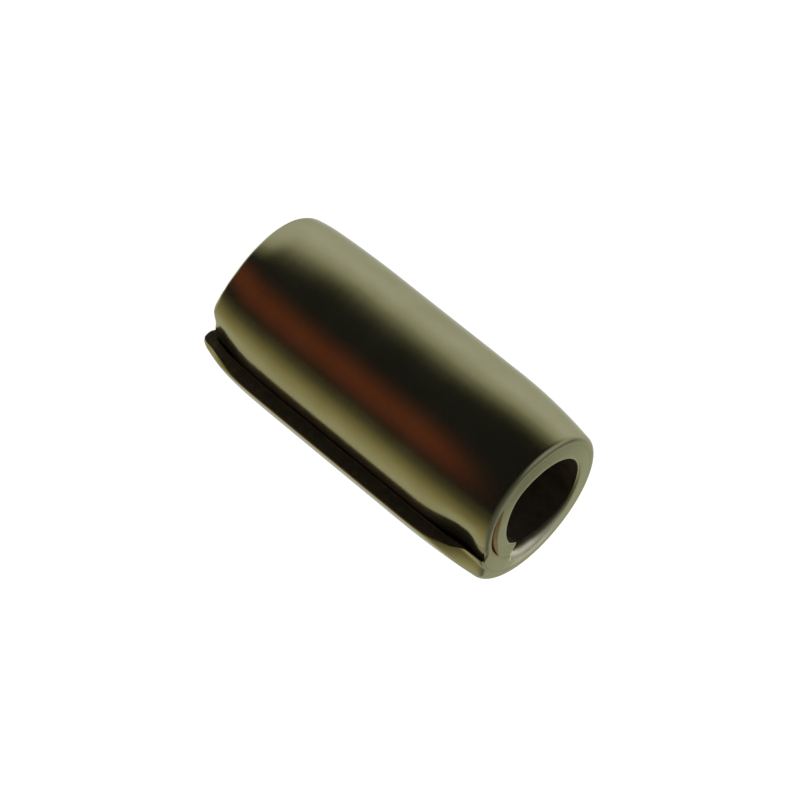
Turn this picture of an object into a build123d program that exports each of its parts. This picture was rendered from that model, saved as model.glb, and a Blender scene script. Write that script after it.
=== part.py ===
from build123d import *
import os
from math import cos, sin, radians, sqrt, acos, asin, degrees

# ---------------------------------------------------------------------------
# Coiled spring pin (spiral roll pin), standard duty, nominal 10 x 22 mm.
# One strip of spring steel is rolled about two and a sixth turns into a tube
# and swaged at both ends. Everything is in millimetres. The pin stands on one
# end: +Z runs along its axis, z = 0 is its lowest point (the corner of the
# free edge, which reaches a little past the coil) and the free outer edge
# faces +X.
# ---------------------------------------------------------------------------

# Driving dimensions
length = 22.0            # over all
ear = 0.65               # how far the free edge's lower corner stands past the coil
strip = 0.84             # strip thickness
r_wrap = 5.36            # outside radius of the outer wrap
flare = 0.12             # extra radius of the sprung flap beside the outer edge
gap_outer = 0.05         # between the outer wrap and the wrap under it
gap_inner = 0.09         # between that wrap and the start of the coil
r_curl = 2.88            # outside radius of the last arc, which curls in a little
centre_x = -0.03         # puts the circle round the whole coil on the row's axis

# Angles along the strip, in degrees, from the outer free edge inwards
# (counter-clockwise seen from above).
a_flap = 60.0            # the flap
a_step = 273.0           # the outer wrap is round up to here
a_under = 370.0          # here it has ducked under the flap
a_rim = 373.0            # the rounded rim runs on to here, just under the flap
a_open = 411.0           # from here on the strip faces the bore
a_step2 = 640.0          # the second wrap is round up to here
a_under2 = 728.0         # here it has ducked under the first duck
a_end = 766.0            # inner free edge

# Swaged ends: (reach from the end face, profile radius of the outside,
# profile radius of the walls inside, rim radius)
top_end = (5.9, 33.3, 116.0, 0.42)
low_end = (6.0, 72.0, 180.0, 0.14)
bore_bend = 62.0         # profile radius of the bore's wall at the upper end
ear_bend = 1.5           # outside bend radius of the ear
edge = 0.05              # broken edges of the sheared strip ends


def up(angle, d=1.0):
    return Vector(d * cos(radians(angle)), d * sin(radians(angle)), 0)


def duck(r_from, r_to, turn):
    """Radii of the two tangent arcs that take the strip from one circle to a
    smaller one on the same centre while its direction turns through turn, and
    how far the first of them turns."""
    step = r_from - r_to
    c = 1 - cos(radians(turn))
    shift = step * (4 + sqrt(16 - 8 * c)) / (4 * c)
    ux = shift * (1 + cos(radians(turn)))
    uy = shift * sin(radians(turn))
    return r_from - shift, r_to + shift, degrees(acos(ux / sqrt(ux * ux + uy * uy)))


# The coil as a chain of tangent arcs: outside radius, start and end angle,
# and which section the strip has there.
r_second = r_wrap - strip - gap_outer
r_third = r_second - strip - gap_inner
r1a, r1b, first1 = duck(r_wrap, r_second, a_under - a_step)
r2a, r2b, first2 = duck(r_second, r_third, a_under2 - a_step2)
chain = [
    (r_wrap + flare, 0.0, a_flap, "flap"),
    (r_wrap, a_flap, a_step, "outside"),
    (r1a, a_step, a_step + first1, "outside"),
    (r1b, a_step + first1, a_under, "outside"),
    (r_second, a_under, a_rim, "outside"),
    (r_second, a_rim, a_open, "inside"),
    (r_second, a_open, a_step2, "bore"),
    (r2a, a_step2, a_step2 + first2, "bore"),
    (r2b, a_step2 + first2, a_under2, "bore"),
    (r_curl, a_under2, a_end, "bore"),
]
centre = [None] * len(chain)
centre[1] = Vector(centre_x, 0, 0)
centre[0] = centre[1] - up(a_flap, flare)
for i in range(2, len(chain)):
    centre[i] = centre[i - 1] + up(chain[i][1], chain[i - 1][0] - chain[i][0])


def sag(radius, reach):
    """How far an arc tangent to the straight wall has moved in after reach."""
    return radius - sqrt(radius * radius - reach * reach)


def rim_points(r, end):
    """Rounded rim of an outside wall, in (radius, height over the end face):
    where it meets the flat face, its middle, where it meets the swaged wall,
    and a point halfway up that wall."""
    reach, bend, _, rim = end
    x_c = r - bend + sqrt((bend - rim) ** 2 - (reach - rim) ** 2)
    k = bend / (bend - rim)
    meet = (r - bend + (x_c - r + bend) * k, reach + (rim - reach) * k)
    b = 0.5 * (acos((meet[0] - x_c) / rim) + radians(90))
    middle = (x_c + rim * cos(b), rim - rim * sin(b))
    half = 0.5 * reach
    return (x_c, 0.0), middle, meet, (r - sag(bend, half), reach - half)


def wall_points(r, end, bend):
    """Swaged wall with a broken edge: on the face, on the wall, halfway up."""
    reach = end[0]
    half = 0.5 * reach
    x = r - sag(bend, reach - edge)
    return x, (x, edge), (r - sag(bend, half), reach - half)


def at_top(p):
    return (p[0], length - p[1])


def at_low(p):
    return (p[0], ear + p[1])


def outside_section(plane, r):
    """Strip on the outside of the pin: rounded rims, flat end faces."""
    t0, t1, t2, t3 = [at_top(p) for p in rim_points(r, top_end)]
    b0, b1, b2, b3 = [at_low(p) for p in rim_points(r, low_end)]
    xt, tw, tm = wall_points(r - strip, top_end, top_end[2])
    xb, bw, bm = wall_points(r - strip, low_end, low_end[2])
    z_t, z_b = length - top_end[0], ear + low_end[0]
    with BuildSketch(plane) as section:
        with BuildLine():
            Line(b0, at_low((xb + edge, 0)))
            Line(at_low((xb + edge, 0)), at_low(bw))
            ThreePointArc(at_low(bw), at_low(bm), (r - strip, z_b))
            Line((r - strip, z_b), (r - strip, z_t))
            ThreePointArc((r - strip, z_t), at_top(tm), at_top(tw))
            Line(at_top(tw), at_top((xt + edge, 0)))
            Line(at_top((xt + edge, 0)), t0)
            ThreePointArc(t0, t1, t2)
            ThreePointArc(t2, t3, (r, z_t))
            Line((r, z_t), (r, z_b))
            ThreePointArc((r, z_b), b3, b2)
            ThreePointArc(b2, b1, b0)
        make_face()
    return section.sketch


def flap_section(plane, r):
    """As outside_section, with the lower end running on into the ear, which
    bends in and keeps the square end of the strip."""
    t0, t1, t2, t3 = [at_top(p) for p in rim_points(r, top_end)]
    b3 = at_low(rim_points(r, low_end)[3])
    xt, tw, tm = wall_points(r - strip, top_end, top_end[2])
    _, _, bm = wall_points(r - strip, low_end, low_end[2])
    z_t, z_b = length - top_end[0], ear + low_end[0]
    reach, bend, bend_in, _ = low_end
    # slopes of the two walls where the ear starts, and at its end
    s_out, s_in = asin(reach / bend), asin(reach / bend_in)
    s_end = asin(sin(s_out) + ear / ear_bend)
    tight = ear_bend - strip + 0.05
    foot_out = (r - sag(bend, reach), ear)
    foot_in = (r - strip - sag(bend_in, reach), ear)
    c_out = (foot_out[0] - ear_bend * cos(s_out), ear + ear_bend * sin(s_out))
    c_in = (foot_in[0] - tight * cos(s_in), ear + tight * sin(s_in))

    def out(s):
        return (c_out[0] + ear_bend * cos(s), c_out[1] - ear_bend * sin(s))

    def inn(s):
        return (c_in[0] + tight * cos(s), c_in[1] - tight * sin(s))

    tip, root = out(s_end), inn(s_end)
    with BuildSketch(plane) as section:
        with BuildLine():
            Line(tip, root)
            ThreePointArc(root, inn(0.5 * (s_in + s_end)), foot_in)
            ThreePointArc(foot_in, at_low(bm), (r - strip, z_b))
            Line((r - strip, z_b), (r - strip, z_t))
            ThreePointArc((r - strip, z_t), at_top(tm), at_top(tw))
            Line(at_top(tw), at_top((xt + edge, 0)))
            Line(at_top((xt + edge, 0)), t0)
            ThreePointArc(t0, t1, t2)
            ThreePointArc(t2, t3, (r, z_t))
            Line((r, z_t), (r, z_b))
            ThreePointArc((r, z_b), b3, foot_out)
            ThreePointArc(foot_out, out(0.5 * (s_out + s_end)), tip)
        make_face()
    return section.sketch


def inside_section(plane, r, inner_bend=top_end[2]):
    """Strip of the wraps inside: both walls follow the swaging gently."""
    r_in = r - strip
    xt, tw, tm = wall_points(r, top_end, top_end[2])
    xb, bw, bm = wall_points(r, low_end, low_end[2])
    xti, twi, tmi = wall_points(r_in, top_end, inner_bend)
    xbi, bwi, bmi = wall_points(r_in, low_end, low_end[2])
    z_t, z_b = length - top_end[0], ear + low_end[0]
    with BuildSketch(plane) as section:
        with BuildLine():
            Line(at_low((xb - edge, 0)), at_low((xbi + edge, 0)))
            Line(at_low((xbi + edge, 0)), at_low(bwi))
            ThreePointArc(at_low(bwi), at_low(bmi), (r_in, z_b))
            Line((r_in, z_b), (r_in, z_t))
            ThreePointArc((r_in, z_t), at_top(tmi), at_top(twi))
            Line(at_top(twi), at_top((xti + edge, 0)))
            Line(at_top((xti + edge, 0)), at_top((xt - edge, 0)))
            Line(at_top((xt - edge, 0)), at_top(tw))
            ThreePointArc(at_top(tw), at_top(tm), (r, z_t))
            Line((r, z_t), (r, z_b))
            ThreePointArc((r, z_b), at_low(bm), at_low(bw))
            Line(at_low(bw), at_low((xb - edge, 0)))
        make_face()
    return section.sketch


def bore_section(plane, r):
    """Where the strip faces the bore its inner wall comes in further at the
    upper end."""
    return inside_section(plane, r, bore_bend)


sections = {
    "flap": flap_section,
    "outside": outside_section,
    "inside": inside_section,
    "bore": bore_section,
}

# The strip: each arc of the chain is the strip's section turned about that
# arc's own centre line. Neighbours share a section plane, so they join into
# one solid, and no wrap touches the wrap beside it.
with BuildPart() as coiled_pin:
    for (r, a0, a1, shape), c in zip(chain, centre):
        radial = up(a0)
        plane = Plane(origin=c, x_dir=radial, z_dir=Vector(radial.Y, -radial.X, 0))
        revolve(
            sections[shape](plane, r),
            axis=Axis((c.X, c.Y, 0), (0, 0, 1)),
            revolution_arc=a1 - a0,
        )
        if shape == "flap":
            # The ear fades out along the flap: its end is cut on a slope that
            # reaches the coil's end face where the flap begins.
            side = up(a_flap - 90.0)
            span = (r_wrap - 0.5) * sin(radians(a_flap))
            fall = Vector(side.X * span, side.Y * span, -ear)
            root_of_slope = Vector(centre_x, 0, ear)
            normal = up(a_flap).cross(fall).normalized()
            if normal.Z < 0:
                normal = normal * -1
            split(bisect_by=Plane(origin=root_of_slope, z_dir=normal), keep=Keep.TOP)

coiled_pin.part.label = "coiled_pin"
os.makedirs("parts", exist_ok=True)
export_step(coiled_pin.part, "parts/coiled_pin.step")
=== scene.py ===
from math import acos, asin, cos, degrees, exp, pi, radians, sin, sqrt

import bpy
from mathutils import Matrix, Vector


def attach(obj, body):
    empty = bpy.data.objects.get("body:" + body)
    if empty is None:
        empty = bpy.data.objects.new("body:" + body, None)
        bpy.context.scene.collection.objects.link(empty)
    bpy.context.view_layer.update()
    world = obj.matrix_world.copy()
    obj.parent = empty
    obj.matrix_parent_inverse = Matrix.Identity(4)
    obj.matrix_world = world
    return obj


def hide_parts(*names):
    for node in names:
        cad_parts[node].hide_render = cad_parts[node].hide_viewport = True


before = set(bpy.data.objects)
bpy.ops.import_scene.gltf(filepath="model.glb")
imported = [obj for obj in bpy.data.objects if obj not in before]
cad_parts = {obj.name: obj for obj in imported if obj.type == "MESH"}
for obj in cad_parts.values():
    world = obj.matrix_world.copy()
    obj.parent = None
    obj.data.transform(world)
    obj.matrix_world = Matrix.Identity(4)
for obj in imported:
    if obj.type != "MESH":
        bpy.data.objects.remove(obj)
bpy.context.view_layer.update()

MM = 0.001

# ---------------------------------------------------------------------------
# The coil, in millimetres, as in the CAD model: one strip wound inwards from
# its free outer edge, counter-clockwise seen from above.
# ---------------------------------------------------------------------------
LENGTH = 22.0
EAR = 0.65
STRIP = 0.84
R_WRAP = 5.36
FLARE = 0.12
R_SECOND = R_WRAP - STRIP - 0.05
R_THIRD = R_SECOND - STRIP - 0.09
CENTRE_X = -0.03
R_CURL = 2.88             # the inner free edge curls in a little
A_FLAP, A_STEP, A_UNDER, A_STEP2, A_UNDER2, A_END = 60.0, 273.0, 370.0, 640.0, 728.0, 766.0
SEAM_ANGLE = 16.5        # direction of the photograph's seam side, degrees


def duck(r_from, r_to, turn):
    step = r_from - r_to
    c = 1 - cos(radians(turn))
    shift = step * (4 + sqrt(16 - 8 * c)) / (4 * c)
    ux = shift * (1 + cos(radians(turn)))
    uy = shift * sin(radians(turn))
    return r_from - shift, r_to + shift, degrees(acos(ux / sqrt(ux * ux + uy * uy)))


R1A, R1B, FIRST1 = duck(R_WRAP, R_SECOND, A_UNDER - A_STEP)
R2A, R2B, FIRST2 = duck(R_SECOND, R_THIRD, A_UNDER2 - A_STEP2)
CHAIN = [
    (R_WRAP + FLARE, 0.0, A_FLAP),
    (R_WRAP, A_FLAP, A_STEP),
    (R1A, A_STEP, A_STEP + FIRST1),
    (R1B, A_STEP + FIRST1, A_UNDER),
    (R_SECOND, A_UNDER, A_STEP2),
    (R2A, A_STEP2, A_STEP2 + FIRST2),
    (R2B, A_STEP2 + FIRST2, A_UNDER2),
    (R_CURL, A_UNDER2, A_END),
]


def direction(angle):
    return Vector((cos(radians(angle)), sin(radians(angle))))


CENTRES = [None, Vector((CENTRE_X, 0.0))]
CENTRES[0] = CENTRES[1] - direction(A_FLAP) * FLARE
for i in range(2, len(CHAIN)):
    CENTRES.append(CENTRES[i - 1] + direction(CHAIN[i][1]) * (CHAIN[i - 1][0] - CHAIN[i][0]))


def outside(angle):
    """Point on the strip's outer surface at mid-length."""
    for (r, a0, a1), c in zip(CHAIN, CENTRES):
        if angle <= a1 + 1e-9:
            return c + direction(angle) * r
    r, c = CHAIN[-1][0], CENTRES[-1]
    return c + direction(angle) * r


def smooth(x, lo, hi):
    x = min(1.0, max(0.0, (x - lo) / (hi - lo)))
    return x * x * (3 - 2 * x)


# ---------------------------------------------------------------------------
# Section of the strip along the pin. Each wall is a list of (inset, height)
# from the bottom end face to the top one; inset is measured from the outer
# surface at mid-length, towards the pin's axis.
# ---------------------------------------------------------------------------
N_RIM = 10      # stations round a rim
N_WALL = 30     # stations along a swaged wall
N_MID = 12      # stations along the straight part


def wall_sag(h, reach, bend, lip=(0.0, 1.0)):
    """How far a swaged wall has moved in at a height over the end face; lip is
    the reach and radius of a tighter bend close to the end."""
    d = bend - sqrt(bend * bend - (reach - h) ** 2) if h < reach else 0.0
    if h < lip[0]:
        d += (lip[0] - h) ** 2 / (2 * lip[1])
    return d


def end_profile(reach, bend, rim, scale=1.0, lip=(0.0, 1.0)):
    """(inset, height over the end face) from the flat face, round the rim and
    up the swaged wall to where it is straight."""
    pts = []
    sag = lambda h: scale * wall_sag(h, reach, bend, lip)
    s = (sag(rim) - sag(rim + 0.01)) / 0.01
    to_angle = asin(s / sqrt(1 + s * s))
    meet_h = rim - rim * sin(to_angle)
    cx = -sag(meet_h) - rim * cos(to_angle)
    for i in range(N_RIM + 1):
        a = pi / 2 + (to_angle - pi / 2) * i / N_RIM
        pts.append((-(cx + rim * cos(a)), rim - rim * sin(a)))
    h0 = pts[-1][1]
    for i in range(1, N_WALL + 1):
        f = i / N_WALL
        h = h0 + (reach - h0) * (0.5 * f + 0.5 * f * f)
        pts.append((sag(h), h))
    return pts


def lerp(p, q, w):
    return tuple(a + (b - a) * w for a, b in zip(p, q))


def blend(ps, qs, w):
    return [lerp(p, q, w) for p, q in zip(ps, qs)]


def resample(knots, n):
    """n + 1 points along a Catmull-Rom line through (inset, height) knots."""
    dense = []
    ks = [knots[0]] + list(knots) + [knots[-1]]
    for i in range(1, len(ks) - 2):
        p0, p1, p2, p3 = ks[i - 1], ks[i], ks[i + 1], ks[i + 2]
        for j in range(16):
            u = j / 16
            dense.append(
                tuple(
                    0.5
                    * (
                        2 * p1[k]
                        + (p2[k] - p0[k]) * u
                        + (2 * p0[k] - 5 * p1[k] + 4 * p2[k] - p3[k]) * u * u
                        + (3 * p1[k] - p0[k] - 3 * p2[k] + p3[k]) * u ** 3
                    )
                    for k in (0, 1)
                )
            )
    dense.append(knots[-1])
    run = [0.0]
    for p, q in zip(dense, dense[1:]):
        run.append(run[-1] + sqrt((p[0] - q[0]) ** 2 + (p[1] - q[1]) ** 2))
    out, k = [], 0
    for i in range(n + 1):
        s = run[-1] * i / n
        while k < len(run) - 2 and run[k + 1] < s:
            k += 1
        w = (s - run[k]) / max(1e-9, run[k + 1] - run[k])
        out.append(lerp(dense[k], dense[k + 1], min(1.0, w)))
    return out


N_END = N_RIM + N_WALL
# The free edge's lower corner: the outside curls in and keeps a square end
# with a blunt corner.
EAR_OUT = resample(
    [(1.40, 0.03), (1.28, 0.003), (1.15, 0.0), (1.02, 0.0), (0.90, 0.012), (0.80, 0.05),
     (0.715, 0.12), (0.635, 0.24), (0.55, 0.42), (0.452, 0.74), (0.363, 1.09),
     (0.285, 1.40), (0.21, 1.75), (0.148, 2.15), (0.098, 2.6), (0.055, 3.2), (0.022, 4.0),
     (0.005, 5.2), (0.0, 6.65)],
    N_END,
)
EAR_IN = resample(
    [(0.84, 0.25), (0.73, 0.35), (0.59, 0.50), (0.46, 0.69), (0.34, 1.0), (0.24, 1.45),
     (0.15, 2.0), (0.10, 2.7), (0.055, 3.5), (0.02, 4.6), (0.0, 6.65)],
    N_END,
)


def slope_at(knots, i):
    """Slope of the smooth line at a knot: level at the ends and at a peak."""
    if i == 0 or i == len(knots) - 1:
        return 0.0
    a = (knots[i][1] - knots[i - 1][1]) / (knots[i][0] - knots[i - 1][0])
    b = (knots[i + 1][1] - knots[i][1]) / (knots[i + 1][0] - knots[i][0])
    return 2 * a * b / (a + b) if a * b > 0 else 0.0


def along_knots(knots, x):
    """Smooth line through (x, y) knots that never overshoots them."""
    if x <= knots[0][0]:
        return knots[0][1]
    for i, ((x0, y0), (x1, y1)) in enumerate(zip(knots, knots[1:])):
        if x <= x1:
            h = x1 - x0
            w = (x - x0) / h
            m0, m1 = slope_at(knots, i), slope_at(knots, i + 1)
            return (
                y0 * (1 + 2 * w) * (1 - w) ** 2
                + m0 * h * w * (1 - w) ** 2
                + y1 * w * w * (3 - 2 * w)
                - m1 * h * w * w * (1 - w)
            )
    return knots[-1][1]


# Seen from the seam side: how far the lower end face stands out of square.
LOW_PLANE = [(0, -0.06), (12, -0.16), (20, -0.21), (26, -0.12), (31, -0.05), (34, -0.10), (37, -0.21),
             (40, -0.29), (43, -0.285), (47, -0.235), (52, -0.145), (57, -0.05), (62, -0.002),
             (66, 0.02), (82, 0.09), (105, 0.05),
             (128, -0.06), (147, -0.12), (165, -0.09), (190, -0.02), (220, 0.0), (330, 0.0),
             (360, -0.06)]
# Rounding of the outside at the lower end face, by winding angle.
LOW_RIM = [(318.0, 0.20), (328.0, 0.36), (337.0, 0.36), (346.0, 0.14), (354.0, 0.10)]
# Rounding of the bore's mouth, by winding angle.
MOUTH = [(400.0, 0.01), (408.0, 0.62), (434.0, 0.64), (452.0, 0.50), (474.0, 0.34),
         (500.0, 0.22), (535.0, 0.18), (600.0, 0.17), (700.0, 0.12), (A_END, 0.12)]
# The free edge's outer corner is blunt: by height, how deep and how far back
# along the flap it is taken off, and how flat (1) or round (0) it is.
CORNER_DEEP = [(0.0, 0.10), (0.4, 0.17), (0.9, 0.25), (1.5, 0.24), (3.0, 0.16), (4.5, 0.11), (17.0, 0.11),
               (18.0, 0.15), (18.6, 0.20), (19.3, 0.29), (19.9, 0.42), (20.35, 0.64), (20.8, 0.82),
               (21.4, 0.88), (22.0, 0.90)]
CORNER_RUN = [(0.0, 0.28), (0.4, 0.42), (0.9, 0.56), (1.5, 0.45), (3.0, 0.22), (4.5, 0.12), (17.0, 0.12),
              (18.0, 0.20), (18.6, 0.32), (19.3, 0.52), (19.9, 0.80), (20.35, 1.25), (20.8, 1.60),
              (21.4, 1.82), (22.0, 1.90)]
# Just before the strip ducks under the flap it is pressed in a little, near
# both ends: (height, depth).
PRESSED_LOW = [(0.0, 0.16), (0.65, 0.22), (1.3, 0.24), (2.0, 0.17), (2.8, 0.06), (3.8, 0.0)]
PRESSED_TOP = [(17.0, 0.0), (18.0, 0.05), (19.0, 0.18), (19.9, 0.30), (20.4, 0.31), (20.8, 0.24),
               (21.2, 0.11), (21.6, 0.02), (22.0, 0.0)]
# The shallow valley left at the upper end face where the strip ducks, between
# each wrap and the one inside it: its width, and how round its sides are.
VALLEY = [(0.0, 0.002), (313.0, 0.0), (334.0, 0.085), (354.0, 0.11), (376.0, 0.0)]
VALLEY_SIDE = [(313.0, 0.004), (336.0, 0.23), (356.0, 0.24), (378.0, 0.004)]


def corner(s, z):
    """How much the free edge's outer corner takes off at a distance from it."""
    deep, run = along_knots(CORNER_DEEP, z), along_knots(CORNER_RUN, z)
    w = 1.0 - s / run
    if w <= 0.0:
        return 0.0
    flat = max(smooth(z, 17.5, 19.5), 1.0 - smooth(z, 1.8, 3.6))
    return deep * ((1 - flat) * (1 - sqrt(max(0.0, 1 - w * w))) + flat * 1.15 * w * w / (w + 0.15))


def soft_limit(x, top, ease=0.10):
    if x <= top - ease:
        return x
    return top - ease * exp(-(x - top + ease) / ease)


def turned(pts, reach, bend):
    """End profile of an inner wall: same wall, rim turned the other way."""
    rim = [(2 * wall_sag(h, reach, bend) - d, h) for d, h in pts[: N_RIM + 1]]
    return rim + pts[N_RIM + 1:]


def section(angle):
    """(outer wall, inner wall) of the strip at a winding angle."""
    seen_from = (SEAM_ANGLE - angle) % 360.0
    facing = cos(radians(seen_from))             # 1 at the side of the seam
    rounded = 1.0 - smooth(angle, 358.5, 365.0)  # how far the rim is rounded
    swage = 0.94 - (0.31 if facing > 0 else 0.13) * facing * rounded
    wider = 0.20 * (1.0 - smooth(angle, 6.0, 26.0))
    top_out = blend(
        end_profile(5.9, 116.0, along_knots(VALLEY_SIDE, angle - 360.0)),
        end_profile(5.9, 33.3, 0.34 - 0.02 * max(0.0, facing) + wider, swage),
        rounded,
    )
    low_out = blend(
        end_profile(6.0, 180.0, 0.04),
        end_profile(6.0, 78.0, along_knots(LOW_RIM, angle), 1.0, (1.5, 11.0)),
        rounded,
    )
    if angle > MOUTH[0][0]:
        # towards the bore the wall comes in further
        mouth = along_knots(MOUTH, angle)
        bend = 116.0 - 54.0 * smooth(angle, A_END - 362.0, A_END - 352.0)
    else:
        mouth, bend = along_knots(VALLEY_SIDE, angle), 116.0
    top_in = turned(end_profile(5.9, bend, mouth), 5.9, bend)
    low_in = turned(end_profile(6.0, 180.0, 0.04), 6.0, 180.0)
    # towards the upper end the wraps close up on one another
    space, groove, touching = 0.0, 0.0, 0.0
    if angle < A_END - 348.0:
        e = direction(angle)
        space = (outside(angle) - outside(min(angle + 360.0, A_END + 12.0))).dot(e) - STRIP
        groove = along_knots(VALLEY, angle)
        touching = 1.0 - smooth(angle, A_END - 360.0, A_END - 348.0)

    def shut(h):
        gap = 0.0015 + groove * (1.0 - smooth(h, 0.05, 0.6))
        return touching * (space - gap) * (1.0 - smooth(h, 0.8, 3.2))

    def fall(r):
        side = 0.78 + 0.22 * sin(radians(seen_from))
        return 0.080 * side * max(0.0, r - 3.35) ** 1.25

    tilt = along_knots(LOW_PLANE, seen_from)
    outer = [(d, EAR + h + tilt * (1 - h / 6.0)) for d, h in low_out]
    inner = [(STRIP + d, EAR + h + tilt * (1 - h / 6.0)) for d, h in low_in]
    # The free edge runs on past the coil into its corner, fading out along
    # the flap.
    if angle < A_FLAP:
        w = smooth(A_FLAP - angle, 0.0, A_FLAP - 8.0)
        rise = EAR * (1 - sin(radians(A_FLAP - angle)) / sin(radians(A_FLAP)))
        outer = blend(outer, [(d, h + rise * (1 - h / 6.65)) for d, h in EAR_OUT], w)
        inner = blend(inner, [(STRIP + d, h + rise * (1 - h / 6.65)) for d, h in EAR_IN], w)
    z0 = outer[-1][1]
    z1 = LENGTH - 5.9
    for i in range(1, N_MID):
        z = z0 + (z1 - z0) * i / N_MID
        outer.append((0.0, z))
        inner.append((STRIP, z))
    # the end face is a little crowned
    r = outside(angle).length
    drop = fall(r - top_out[0][0])
    outer += [(d, LENGTH - h - drop * (1 - h / 5.9)) for d, h in reversed(top_out)]
    drop = fall(r - STRIP - top_in[0][0])
    inner += [
        (STRIP + d + shut(h), LENGTH - h - drop * (1 - h / 5.9)) for d, h in reversed(top_in)
    ]
    # the free edge's outer corner, blunt towards both ends
    under = 1.0 - smooth(angle, 366.0, 384.0)
    top = under * smooth(angle, 335.0, 360.0)
    low = under * smooth(angle, 334.0, 357.0)
    if top + low > 0.0:
        outer = [
            (d + top * along_knots(PRESSED_TOP, z) + low * along_knots(PRESSED_LOW, z), z)
            for d, z in outer
        ]
    run = radians(angle) * R_WRAP
    if run < 2.0:
        rounder = []
        for i, (d, z) in enumerate(outer):
            cut = corner(run, z)
            if cut > 0.0:
                if z < 3.0:
                    # square to the wall, which turns under at the lower end
                    (da, za), (db, zb) = outer[max(0, i - 1)], outer[i + 1]
                    long = sqrt((db - da) ** 2 + (zb - za) ** 2)
                    d, z = d + cut * (zb - za) / long, z + 0.5 * cut * (da - db) / long
                else:
                    lean = 0.15 * (1.0 - smooth(LENGTH - z, 0.0, 5.9))
                    d = max(d, soft_limit(d + cut, STRIP + lean - 0.03))
            rounder.append((d, z))
        outer = rounder
    return outer, inner


K = 3            # columns across the thickness
EDGE = 0.03      # rounding of the sheared edges, mm


def inset_section(outer, inner, amount):
    """The section shrunk by amount on all sides, for the rounded cut edges."""
    if amount <= 0:
        return outer, inner
    z_lo = 0.5 * (outer[0][1] + inner[0][1])
    half = 0.5 * (LENGTH + z_lo)
    tall = 1 - amount / (0.5 * (LENGTH - z_lo))
    wide = 1 - 2 * amount / STRIP
    out, inn = [], []
    for o, i in zip(outer, inner):
        m = 0.5 * (o[0] + i[0])
        out.append((m + (o[0] - m) * wide, half + (o[1] - half) * tall))
        inn.append((m + (i[0] - m) * wide, half + (i[1] - half) * tall))
    return out, inn


def rows():
    """(winding angle, how much the section is inset) for every row."""
    n = 4
    quarter = [(EDGE * (1 - cos(0.5 * pi * i / n)), EDGE * (1 - sin(0.5 * pi * i / n))) for i in range(n + 1)]
    out = [(degrees(run / R_WRAP), inset) for run, inset in quarter]
    out += [(0.25 * i, 0.0) for i in range(2, 9)]
    out += [(2.0 + 0.5 * i, 0.0) for i in range(1, 45)]
    angle = 25.0
    while angle < A_END - 1.0:
        out.append((angle, 0.0))
        if angle < 300.0:
            angle += 2.0
        elif angle < 384.0:
            angle += 0.75 if 314.0 < angle < 370.0 else 1.5
        else:
            angle += 1.0 if 394.0 < angle < 412.0 else 3.0
    out += [(A_END - degrees(run / R_THIRD), inset) for run, inset in reversed(quarter)]
    return out


# Finishes round the section. Three of them paint light or shade: the hidden and inner surfaces are darker as
# painted shade, the bore's mouth rounding carries a painted highlight, and the outside in the corner under
# the flap is painted lighter.
ROLLED, FACE, SHEARED, SHADED_INSIDE, GROOVE, MOUTH_HIGHLIGHT, UNDERFLAP_FILL = range(7)
# The facets of the CAD model are a hair inside its curves; this keeps the
# visual model inside its box.
WITHIN = 0.9995


def zone(j, m, angle):
    """Which finish, with its painted light, shade or highlight, a face round the
    section has: j counts up the outer wall, across the top, down the inner wall
    and across the bottom."""
    if j < m - 1:
        if angle < A_UNDER + 6.0:
            # from 349 degrees on, the outside that ducks into the shaded corner under the flap is painted
            # lighter: painted light
            return UNDERFLAP_FILL if angle > 349.0 else ROLLED
        # further in, the wraps' hidden outsides are darker and browner as painted shade; near the third
        # wrap's top they are brown
        return GROOVE if 672.0 < angle < 748.0 and j > m - 1 - N_RIM - 3 else SHADED_INSIDE
    if j < m - 1 + K:
        return FACE
    if j < 2 * m - 2 + K:
        down = j - (m - 1 + K)
        # the bore's mouth rounding from 398 to 500 degrees carries a painted highlight
        if down < N_RIM and 398.0 < angle < 500.0:
            return MOUTH_HIGHLIGHT
        if down < N_RIM and angle >= 500.0:
            return FACE
        # the inner walls are darker and browner as painted shade, brown along the valley near the upper end
        return GROOVE if 312.0 < angle < 388.0 and down < N_RIM + 3 else SHADED_INSIDE
    return FACE


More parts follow.
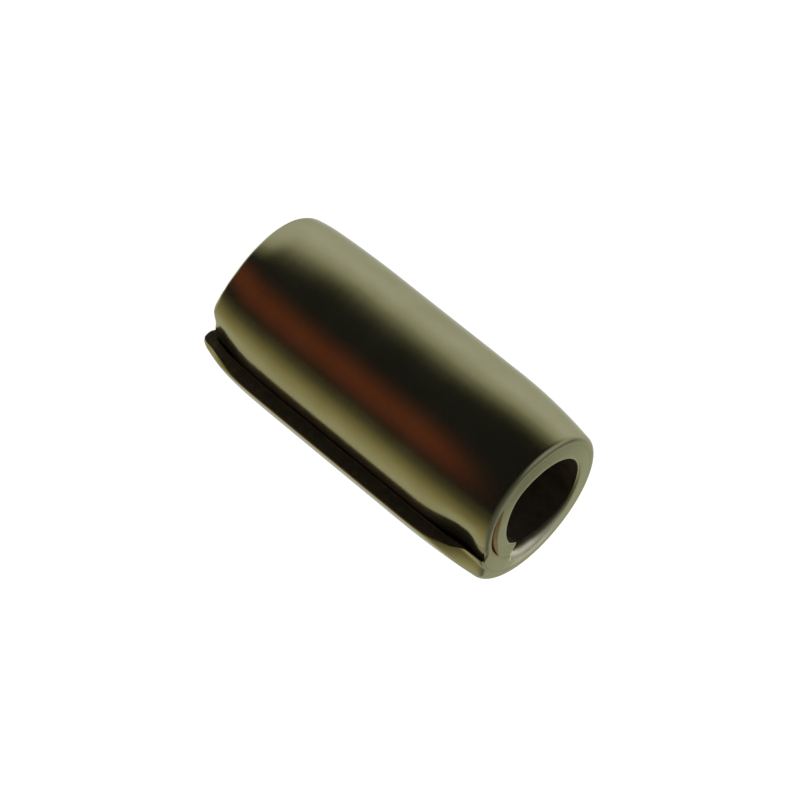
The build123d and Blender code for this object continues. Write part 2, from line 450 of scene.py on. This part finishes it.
def build_strip(name):
    verts, loops, faces, mats = [], [], [], []
    run_uv = []
    ring = None
    all_rows = rows()
    travelled = 0.0
    last = None
    for angle, inset in all_rows:
        outer, inner = section(angle)
        outer, inner = inset_section(outer, inner, inset)
        m = len(outer)
        base, e = outside(angle), direction(angle)
        if last is not None:
            travelled += (base - last).length
        last = base
        # outer wall upwards, across the top face, inner wall down, across the
        # bottom face
        loop = list(outer)
        loop += [lerp(outer[-1], inner[-1], j / K) for j in range(1, K)]
        loop += list(reversed(inner))
        loop += [lerp(inner[0], outer[0], j / K) for j in range(1, K)]
        start = len(verts)
        for d, z in loop:
            p = base - e * d
            verts.append((p.x * MM * WITHIN, p.y * MM * WITHIN, z * MM))
            run_uv.append((travelled * MM, z * MM))
        loops.append((start, len(loop), m))
    n_loop, m = loops[0][1], loops[0][2]
    for a, b, (row_angle, _) in zip(loops, loops[1:], all_rows):
        for j in range(n_loop):
            k = (j + 1) % n_loop
            # winding is counter-clockwise seen from above, loop runs up on
            # the outside: this order makes the outer wall face outwards
            faces.append((a[0] + j, b[0] + j, b[0] + k, a[0] + k))
            mats.append(zone(j, m, row_angle))
    # cut faces at both ends of the strip: a grid between the two walls
    for which in (0, -1):
        s = loops[which][0]
        grid = []
        for j in range(m):
            o, i = s + j, s + (m - 1 + K) + (m - 1 - j)
            if j == 0:
                row = [o] + [s + n_loop - q for q in range(1, K)] + [i]
            elif j == m - 1:
                row = [o] + [s + m - 1 + q for q in range(1, K)] + [i]
            else:
                row = [o]
                for q in range(1, K):
                    vo, vi = Vector(verts[o]), Vector(verts[i])
                    verts.append(tuple(vo.lerp(vi, q / K)))
                    run_uv.append(run_uv[o])
                    row.append(len(verts) - 1)
                row.append(i)
            grid.append(row)
        for j in range(m - 1):
            for q in range(K):
                quad = (grid[j][q], grid[j + 1][q], grid[j + 1][q + 1], grid[j][q + 1])
                faces.append(quad if which == 0 else tuple(reversed(quad)))
                mats.append(SHEARED)
    mesh = bpy.data.meshes.new(name)
    mesh.from_pydata(verts, [], faces)
    mesh.update()
    mesh.polygons.foreach_set("material_index", mats)
    mesh.polygons.foreach_set("use_smooth", [True] * len(faces))
    uv = mesh.uv_layers.new(name="strip")
    for loop in mesh.loops:
        uv.data[loop.index].uv = (
            run_uv[loop.vertex_index][0] * 100,
            run_uv[loop.vertex_index][1] * 100,
        )
    obj = bpy.data.objects.new(name, mesh)
    bpy.context.scene.collection.objects.link(obj)
    return obj


pin = build_strip("coiled_strip")
pin.data.validate(verbose=False)
pin.data.set_sharp_from_angle(angle=radians(50))

# ---------------------------------------------------------------------------
# Materials
# ---------------------------------------------------------------------------


def new_material(name):
    mat = bpy.data.materials.new(name)
    mat.use_nodes = True
    nt = mat.node_tree
    nt.nodes.clear()
    out = nt.nodes.new("ShaderNodeOutputMaterial")
    shader = nt.nodes.new("ShaderNodeBsdfPrincipled")
    nt.links.new(shader.outputs[0], out.inputs[0])
    return mat, nt, shader


def node(nt, kind, **props):
    n = nt.nodes.new(kind)
    for k, v in props.items():
        setattr(n, k, v)
    return n


def ramp(nt, stops, fac):
    n = node(nt, "ShaderNodeValToRGB")
    el = n.color_ramp.elements
    while len(el) < len(stops):
        el.new(0.5)
    for e, (pos, col) in zip(el, stops):
        e.position = pos
        e.color = (*col, 1.0) if len(col) == 3 else col
    nt.links.new(fac, n.inputs[0])
    return n


def run_at(angle):
    """Length of strip from the outer free edge to a winding angle, mm."""
    stops = [angle * i / 400 for i in range(401)]
    return sum((outside(b) - outside(a)).length for a, b in zip(stops, stops[1:]))


def steel(name, base_lo, base_hi, rough, line_scale, line_strength, mottling, metallic, painted_highlight=None):
    """Spring steel: rolling lines run round the coil, with a thin uneven oil
    and oxide film over them. The last argument, if given, is a stretch of the
    strip, as four winding angles, where a painted highlight lifts the colour,
    and the two colours of that painted highlight."""
    mat, nt, sh = new_material(name)
    coord = node(nt, "ShaderNodeTexCoord")
    # rolling lines: noise squeezed along the pin's axis
    squeeze = node(nt, "ShaderNodeMapping")
    squeeze.inputs["Scale"].default_value = (60, 60, line_scale)
    nt.links.new(coord.outputs["Object"], squeeze.inputs[0])
    lines = node(nt, "ShaderNodeTexNoise")
    lines.inputs["Scale"].default_value = 1.0
    lines.inputs["Detail"].default_value = 5.0
    lines.inputs["Roughness"].default_value = 0.62
    nt.links.new(squeeze.outputs[0], lines.inputs["Vector"])
    film = node(nt, "ShaderNodeTexNoise")
    film.inputs["Scale"].default_value = mottling
    film.inputs["Detail"].default_value = 3.0
    nt.links.new(coord.outputs["Object"], film.inputs["Vector"])
    grain = node(nt, "ShaderNodeTexNoise")
    grain.inputs["Scale"].default_value = 9000.0
    grain.inputs["Detail"].default_value = 2.0
    nt.links.new(coord.outputs["Object"], grain.inputs["Vector"])
    colour = ramp(nt, [(0.30, base_lo), (0.70, base_hi)], film.outputs["Fac"])
    # painted highlight: over the given stretch of the strip the colour is mixed towards two lighter colours
    if painted_highlight:
        strip = node(nt, "ShaderNodeUVMap", uv_map="strip")
        split = node(nt, "ShaderNodeSeparateXYZ")
        nt.links.new(strip.outputs[0], split.inputs[0])
        along = [run_at(a) * 0.1 for a in painted_highlight[0]]
        masks = []
        for lo, hi in (along[:2], along[2:]):
            m = node(nt, "ShaderNodeMapRange", interpolation_type="SMOOTHSTEP")
            m.inputs["From Min"].default_value = lo
            m.inputs["From Max"].default_value = hi
            nt.links.new(split.outputs[0], m.inputs["Value"])
            masks.append(m)
        here = node(nt, "ShaderNodeMath", operation="SUBTRACT")
        nt.links.new(masks[0].outputs[0], here.inputs[0])
        nt.links.new(masks[1].outputs[0], here.inputs[1])
        highlight_colour = ramp(nt, [(0.30, painted_highlight[1]), (0.70, painted_highlight[2])], film.outputs["Fac"])
        both = node(nt, "ShaderNodeMix", data_type="RGBA")
        nt.links.new(here.outputs[0], both.inputs[0])
        nt.links.new(colour.outputs[0], both.inputs[6])
        nt.links.new(highlight_colour.outputs[0], both.inputs[7])
        nt.links.new(both.outputs[2], sh.inputs["Base Color"])
    else:
        nt.links.new(colour.outputs[0], sh.inputs["Base Color"])
    mix = node(nt, "ShaderNodeMath", operation="ADD")
    a = node(nt, "ShaderNodeMath", operation="MULTIPLY")
    a.inputs[1].default_value = 0.5
    nt.links.new(lines.outputs["Fac"], a.inputs[0])
    b = node(nt, "ShaderNodeMath", operation="MULTIPLY")
    b.inputs[1].default_value = 0.5
    nt.links.new(film.outputs["Fac"], b.inputs[0])
    nt.links.new(a.outputs[0], mix.inputs[0])
    nt.links.new(b.outputs[0], mix.inputs[1])
    rr = node(nt, "ShaderNodeMapRange")
    rr.inputs["From Min"].default_value = 0.3
    rr.inputs["From Max"].default_value = 0.7
    rr.inputs["To Min"].default_value = rough - 0.035
    rr.inputs["To Max"].default_value = rough + 0.035
    nt.links.new(mix.outputs[0], rr.inputs["Value"])
    nt.links.new(rr.outputs[0], sh.inputs["Roughness"])
    height = node(nt, "ShaderNodeMath", operation="ADD")
    gs = node(nt, "ShaderNodeMath", operation="MULTIPLY")
    gs.inputs[1].default_value = 0.25
    nt.links.new(grain.outputs["Fac"], gs.inputs[0])
    nt.links.new(lines.outputs["Fac"], height.inputs[0])
    nt.links.new(gs.outputs[0], height.inputs[1])
    bump = node(nt, "ShaderNodeBump")
    bump.inputs["Strength"].default_value = line_strength
    bump.inputs["Distance"].default_value = 0.00001
    nt.links.new(height.outputs[0], bump.inputs["Height"])
    nt.links.new(bump.outputs[0], sh.inputs["Normal"])
    sh.inputs["Metallic"].default_value = metallic
    sh.inputs["Specular Tint"].default_value = (0.66, 0.66, 0.57, 1.0)
    return mat


rolled = steel("rolled_steel", (0.262, 0.257, 0.158), (0.300, 0.296, 0.190), 0.19, 5200, 0.25, 420, 0.97)
# end faces; from 398 to 474 degrees, beside the bore's mouth, a painted highlight makes them lighter
ends = steel(
    "end_face_steel_and_painted_highlight", (0.300, 0.302, 0.176), (0.346, 0.347, 0.206), 0.26, 3000, 0.12, 900, 0.96,
    ((398.0, 422.0, 440.0, 474.0), (0.420, 0.415, 0.290), (0.520, 0.514, 0.375)),
)
sheared = steel("sheared_steel", (0.200, 0.190, 0.120), (0.275, 0.265, 0.170), 0.30, 9000, 0.45, 1800, 0.97)
# painted shade: the surfaces inside the coil, between the wraps and in the bore, are darker, browner and much
# less metallic
inside = steel("shaded_inside_steel", (0.146, 0.122, 0.092), (0.222, 0.190, 0.146), 0.38, 4200, 0.35, 1200, 0.35)
# brown, half metallic and rougher in the valleys between the wraps at the upper end, and on the third wrap's
# outside near its top
groove = steel("brown_valley_steel", (0.340, 0.238, 0.104), (0.450, 0.322, 0.148), 0.40, 4200, 0.35, 1500, 0.50)
# the bore's mouth rounding: from 394 to 498 degrees a painted highlight, much lighter than the steel; rougher
# than the end faces
painted_mouth_highlight = steel(
    "mouth_highlight_steel", (0.300, 0.302, 0.176), (0.346, 0.347, 0.206), 0.37, 5200, 0.20, 900, 0.97,
    ((394.0, 404.0, 462.0, 498.0), (0.600, 0.585, 0.455), (0.860, 0.845, 0.690)),
)
# painted light: the strip's outside in the shaded corner under the flap is browner and a little less
# metallic, so it picks up more diffuse light and reads lighter there
film = steel("underflap_painted_fill", (0.205, 0.178, 0.102), (0.262, 0.230, 0.138), 0.22, 5200, 0.25, 900, 0.93)
for m in (rolled, ends, sheared, inside, groove, painted_mouth_highlight, film):
    pin.data.materials.append(m)

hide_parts("coiled_pin")
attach(pin, "root")

# ---------------------------------------------------------------------------
# Floor, light and camera
# ---------------------------------------------------------------------------
# Directions of the photograph: the seam side and the viewer's side.
SEAM = Vector((cos(radians(SEAM_ANGLE)), sin(radians(SEAM_ANGLE)), 0))
NEAR = Vector((cos(radians(SEAM_ANGLE - 90)), sin(radians(SEAM_ANGLE - 90)), 0))
UP = Vector((0, 0, 1))

floor_mesh = bpy.data.meshes.new("floor")
side = 1.2
floor_mesh.from_pydata(
    [(-side, -side, 0), (side, -side, 0), (side, side, 0), (-side, side, 0)],
    [], [(0, 1, 2, 3)],
)
floor = bpy.data.objects.new("floor", floor_mesh)
bpy.context.scene.collection.objects.link(floor)
mat, nt, sh = new_material("pale_floor")
sh.inputs["Base Color"].default_value = (0.3, 0.3, 0.3, 1)
sh.inputs["Roughness"].default_value = 0.9
sh.inputs["Emission Color"].default_value = (1, 1, 1, 1)
sh.inputs["Emission Strength"].default_value = 0.97
floor_mesh.materials.append(mat)
floor.visible_glossy = False

world = bpy.data.worlds.new("studio")
bpy.context.scene.world = world
world.use_nodes = True
nt = world.node_tree
nt.nodes.clear()
out = node(nt, "ShaderNodeOutputWorld")
coord = node(nt, "ShaderNodeTexCoord")


def dot_with(vec):
    n = node(nt, "ShaderNodeVectorMath", operation="DOT_PRODUCT")
    n.inputs[1].default_value = vec
    nt.links.new(coord.outputs["Generated"], n.inputs[0])
    return n.outputs["Value"]


def math_node(op, a, b=None, clamp=False):
    n = node(nt, "ShaderNodeMath", operation=op, use_clamp=clamp)
    for i, v in enumerate((a, b)):
        if v is None:
            continue
        if isinstance(v, (int, float)):
            n.inputs[i].default_value = v
        else:
            nt.links.new(v, n.inputs[i])
    return n.outputs[0]


def step_map(value, lo, hi):
    n = node(nt, "ShaderNodeMapRange", interpolation_type="SMOOTHSTEP")
    n.inputs["From Min"].default_value = lo
    n.inputs["From Max"].default_value = hi
    nt.links.new(value, n.inputs["Value"])
    return n.outputs[0]


def mix_colour(fac, a, b):
    n = node(nt, "ShaderNodeMix", data_type="RGBA")
    if isinstance(fac, (int, float)):
        n.inputs[0].default_value = fac
    else:
        nt.links.new(fac, n.inputs[0])
    for sock, v in ((n.inputs[6], a), (n.inputs[7], b)):
        if isinstance(v, tuple):
            sock.default_value = (*v, 1)
        else:
            nt.links.new(v, sock)
    return n.outputs[2]


x = dot_with(NEAR)
y = dot_with(SEAM)
z = dot_with(UP)
azimuth = math_node("ARCTAN2", y, x)                   # -pi .. pi, 0 at the viewer's side
# the dark side's left edge leans: it stands further in low down
low_lean = math_node("MULTIPLY", math_node("MAXIMUM", math_node("SUBTRACT", -0.415, z), 0.0), radians(130))
high_lean = math_node("MULTIPLY", math_node("MAXIMUM", math_node("ADD", z, 0.375), 0.0), radians(-46))
lean = math_node("MAXIMUM", math_node("ADD", low_lean, high_lean), radians(-21))
lean = math_node("MINIMUM", lean, radians(30))
left = math_node("SUBTRACT", 1.0, step_map(azimuth, radians(-36), radians(14)))
leaned = math_node("SUBTRACT", azimuth, math_node("MULTIPLY", lean, left))
turn = math_node("ADD", math_node("DIVIDE", leaned, 2 * pi), 0.5)


def at(deg):
    return (deg + 180.0) / 360.0


# A pale room with one dark side, behind the viewer, that the barrel mirrors
# as its dark band; a dull red thing stands low at the dark side's edge.
WHITE = (1.0, 1.0, 1.0)
room = ramp(
    nt,
    [
        (at(-180), (1.0, 1.0, 1.0)),
        (at(-104), (1.05, 1.05, 1.04)),
        (at(-86), (0.79, 0.78, 0.645)),
        (at(-71), (0.305, 0.295, 0.19)),
        (at(-60), (0.065, 0.064, 0.042)),
        (at(-48), (0.010, 0.010, 0.010)),
        (at(60), (0.010, 0.009, 0.010)),
        (at(75), (0.11, 0.092, 0.05)),
        (at(88), (0.39, 0.335, 0.15)),
        (at(100), (0.68, 0.60, 0.34)),
        (at(116), (0.89, 0.84, 0.63)),
        (at(132), (0.95, 0.93, 0.82)),
        (at(160), (1.0, 1.0, 1.0)),
        (at(180), (1.0, 1.0, 1.0)),
    ],
    turn,
)
room.color_ramp.interpolation = "EASE"
red_low_lean = math_node("MULTIPLY", math_node("SUBTRACT", 1.0, step_map(z, -0.62, -0.48)), 11.0 / 360.0)
red = ramp(
    nt,
    [
        (at(-10), (0.0, 0.0, 0.0)),
        (at(4), (0.052, 0.011, 0.003)),
        (at(16), (0.140, 0.027, 0.005)),
        (at(28), (0.228, 0.042, 0.007)),
        (at(42), (0.200, 0.038, 0.010)),
        (at(55), (0.092, 0.022, 0.009)),
        (at(70), (0.0, 0.0, 0.0)),
    ],
    math_node("ADD", math_node("ADD", math_node("DIVIDE", azimuth, 2 * pi), 0.5), red_low_lean),
)
low = math_node("SUBTRACT", 1.0, step_map(z, -0.33, -0.12))
red_low = mix_colour(low, (0.0, 0.0, 0.0), red.outputs[0])
add = node(nt, "ShaderNodeMix", data_type="RGBA", blend_type="ADD")
add.inputs[0].default_value = 1.0
nt.links.new(room.outputs[0], add.inputs[6])
nt.links.new(red_low, add.inputs[7])
# overhead the dark side pales slowly across the ceiling, a lamp hangs to the
# left, and straight below it is pale all round
ceiling = ramp(
    nt,
    [
        (0.0, (0.82, 0.82, 0.82)),
        (0.04, (0.355, 0.372, 0.347)),
        (0.12, (0.235, 0.255, 0.227)),
        (0.28, (0.26, 0.27, 0.25)),
        (0.50, (0.17, 0.166, 0.155)),
        (0.75, (0.095, 0.09, 0.08)),
        (0.85, (0.08, 0.076, 0.066)),
        (0.95, (0.040, 0.038, 0.034)),
        (1.0, (0.018, 0.017, 0.017)),
    ],
    math_node("ADD", math_node("MULTIPLY", x, 0.5), 0.5),
)
lamp_at = (SEAM * -0.70 + NEAR * -0.05 + UP * 0.71).normalized()
lamp = math_node("MULTIPLY", step_map(dot_with(lamp_at), 0.72, 0.98), 0.45)
lit = mix_colour(lamp, ceiling.outputs[0], (1.2, 1.18, 1.14))
# straight behind the pin the wall meets the ceiling in a narrower band
slow, quick = step_map(z, 0.05, 0.80), step_map(z, 0.22, 0.60)
behind = math_node("SUBTRACT", 1.0, step_map(x, -0.78, -0.50))
edge_of = math_node("ADD", slow, math_node("MULTIPLY", math_node("SUBTRACT", quick, slow), behind))
colour = mix_colour(edge_of, add.outputs[2], lit)
below = math_node("SUBTRACT", 1.0, step_map(z, -0.97, -0.88))
colour = mix_colour(below, colour, WHITE)

reflect = node(nt, "ShaderNodeBackground")
nt.links.new(colour, reflect.inputs[0])
reflect.inputs[1].default_value = 1.0
plain = node(nt, "ShaderNodeBackground")
plain.inputs[0].default_value = (1, 1, 1, 1)
plain.inputs[1].default_value = 1.0
path = node(nt, "ShaderNodeLightPath")
choose = node(nt, "ShaderNodeMixShader")
nt.links.new(path.outputs["Is Camera Ray"], choose.inputs[0])
nt.links.new(reflect.outputs[0], choose.inputs[1])
nt.links.new(plain.outputs[0], choose.inputs[2])
nt.links.new(choose.outputs[0], out.inputs[0])

scene = bpy.context.scene
scene.view_settings.view_transform = "Standard"
scene.view_settings.look = "None"

# Camera: 22.8 degrees above the pin's own horizon, rolled so that the pin
# lies across the picture from upper left to lower right.
PX_MM = 17.68          # picture scale at the pin's centre
REACH = 3632.0         # camera distance in picture pixels
TILT = 0.388           # sine of the elevation
flat = sqrt(1 - TILT * TILT)
to_camera = UP * TILT + NEAR * flat
along = UP * flat - NEAR * TILT
across = SEAM
right = along * 0.7778 - across * 0.6285
upward = -(along * 0.6285 + across * 0.7778)
aim = Vector((0, 0, 0.5 * (LENGTH + EAR) * MM)) - (along * -1.9 + across * -1.3) * (MM / PX_MM)
cam_data = bpy.data.cameras.new("camera")
cam_data.lens = REACH / 800 * 36
cam_data.sensor_width = 36
cam_data.clip_start, cam_data.clip_end = 0.01, 10
cam = bpy.data.objects.new("camera", cam_data)
scene.collection.objects.link(cam)
cam.matrix_world = Matrix.Translation(aim + to_camera * (REACH / PX_MM * MM)) @ Matrix(
    (right.normalized(), upward.normalized(), to_camera.normalized())
).transposed().to_4x4()
scene.camera = cam
